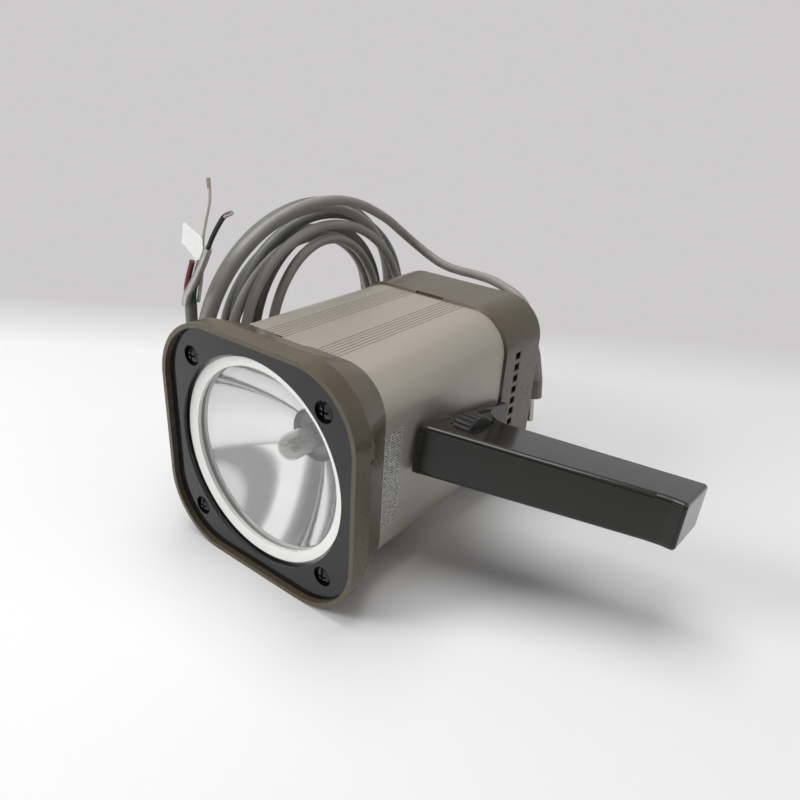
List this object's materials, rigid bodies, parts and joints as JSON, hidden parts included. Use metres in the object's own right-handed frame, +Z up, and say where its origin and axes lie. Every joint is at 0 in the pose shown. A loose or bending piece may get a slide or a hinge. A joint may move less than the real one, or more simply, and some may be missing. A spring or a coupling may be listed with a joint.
{
  "type": "xenon stroboscope",
  "caption": "Hand-held stroboscope: rounded-square lamp housing with round window and reflector, swivelling side grip with thumbwheel, rear controls, coiled power cord and signal cable.",
  "frame": {"origin": "bottom centre of the object's box without its cords, on the surface it rests on", "axes": "+Z up, +Y from the lamp window towards the rear panel, +X along the side grip outwards"},
  "size_m": [0.272, 0.2745, 0.1863],
  "materials": {
    "moulding_brown": "fine satin moulding",
    "plate_gloss": "glossy dark grey",
    "screw_black": "blackened",
    "ring_white": "smooth white",
    "clear_window": "clear",
    "seal_rubber": "matt",
    "gasket_pale": "milky silicone",
    "reflector_bright": "bright anodised",
    "lamp_glass": "clear",
    "lamp_ceramic": "ceramic",
    "tinned_brass": "tinned",
    "sheet_aluminium": "mill finish",
    "extrusion_paint": "satin beige grey",
    "label_foil": "blank printed grid",
    "panel_paint": "satin",
    "screw_zinc": "zinc plated",
    "core_steel": "varnished laminations",
    "winding_tape": "tape wrapped",
    "capacitor_sleeve": "sleeved",
    "board_green": "solder mask",
    "component_black": "moulded",
    "grip_black": "fine grain",
    "grip_foot_grey": "fine grain",
    "wheel_black": "knurled",
    "bush_brass": "turned",
    "knob_black": "satin",
    "gland_rubber": "matt",
    "power_cord_grey": "smooth sheath",
    "signal_cord_grey": "smooth sheath",
    "plug_grey": "moulded",
    "pin_nickel": "nickel plated",
    "core_green": "insulation",
    "core_red": "insulation",
    "core_white": "insulation",
    "core_black": "insulation",
    "screen_braid": "tinned braid",
    "tag_paper": "paper"
  },
  "bodies": {
    "housing": {"front_bezel": "moulding_brown", "front_plate": "plate_gloss", "plate_screws": "screw_black", "window_ring": "ring_white", "window": "clear_window", "window_gasket": "gasket_pale", "reflector": "reflector_bright", "lamp_envelope": "lamp_glass", "flash_tube": "lamp_glass", "lamp_base": "lamp_ceramic", "lamp_pins": "tinned_brass", "lamp_bracket": "sheet_aluminium", "housing_extrusion": "extrusion_paint", "rating_label": "label_foil", "rear_cover": "moulding_brown", "rear_feet": "seal_rubber", "rear_panel": "panel_paint", "panel_screws": "screw_zinc", "chassis_sled": "sheet_aluminium", "transformer_core": "core_steel", "transformer_winding": "winding_tape", "storage_capacitors": "capacitor_sleeve", "circuit_board": "board_green", "board_standoffs": "tinned_brass", "trigger_coil": "component_black", "board_components": "component_black", "grip_bush": "bush_brass", "bush_nut": "screw_zinc", "dial_potentiometer": "screw_zinc", "dial_nut": "screw_zinc", "rocker_frame": "knob_black", "toggle_switch": "screw_zinc", "toggle_nut": "screw_zinc", "fuse_holder": "knob_black", "power_gland": "gland_rubber", "signal_gland": "gland_rubber", "power_cord_lead": "power_cord_grey", "power_cord_coil": "power_cord_grey", "power_cord_tail": "power_cord_grey", "power_plug": "plug_grey", "plug_pins": "pin_nickel", "signal_cord_lead": "signal_cord_grey", "signal_cord_coil": "signal_cord_grey", "signal_cord_end": "signal_cord_grey", "wire_green": "core_green", "wire_red": "core_red", "wire_white": "core_white", "wire_black": "core_black", "wire_shield": "screen_braid", "wire_tag": "tag_paper"},
    "grip": {"grip_half_upper": "grip_black", "grip_half_lower": "grip_black", "grip_foot": "grip_foot_grey", "grip_screws": "screw_zinc"},
    "thumbwheel": {"thumbwheel": "wheel_black", "thumbwheel_stud": "screw_zinc"},
    "dial": {"rate_dial": "knob_black", "dial_shaft": "sheet_aluminium"},
    "rocker": {"power_rocker": "knob_black"},
    "toggle": {"toggle_lever": "pin_nickel"}
  },
  "joints": [
    {"name": "grip_swivel", "type": "hinge", "parent": "housing", "child": "grip", "pos_m": [0.00135, -0.0213, 0.06749], "axis": [1, 0, 0], "range_deg": [-90, 90]},
    {"name": "thumbwheel_turn", "type": "hinge", "parent": "grip", "child": "thumbwheel", "pos_m": [0.00135, -0.0213, 0.06749], "axis": [1, 0, 0], "continuous": true},
    {"name": "dial_turn", "type": "hinge", "parent": "housing", "child": "dial", "pos_m": [-0.07575, 0.075, 0.086], "axis": [0, 1, 0], "range_deg": [-150, 150]},
    {"name": "rocker_tilt", "type": "hinge", "parent": "housing", "child": "rocker", "pos_m": [-0.03375, 0.0726, 0.04], "axis": [1, 0, 0], "range_deg": [-7, 7]},
    {"name": "toggle_tilt", "type": "hinge", "parent": "housing", "child": "toggle", "pos_m": [-0.03375, 0.075, 0.072], "axis": [1, 0, 0], "range_deg": [-15, 15]}
  ]
}
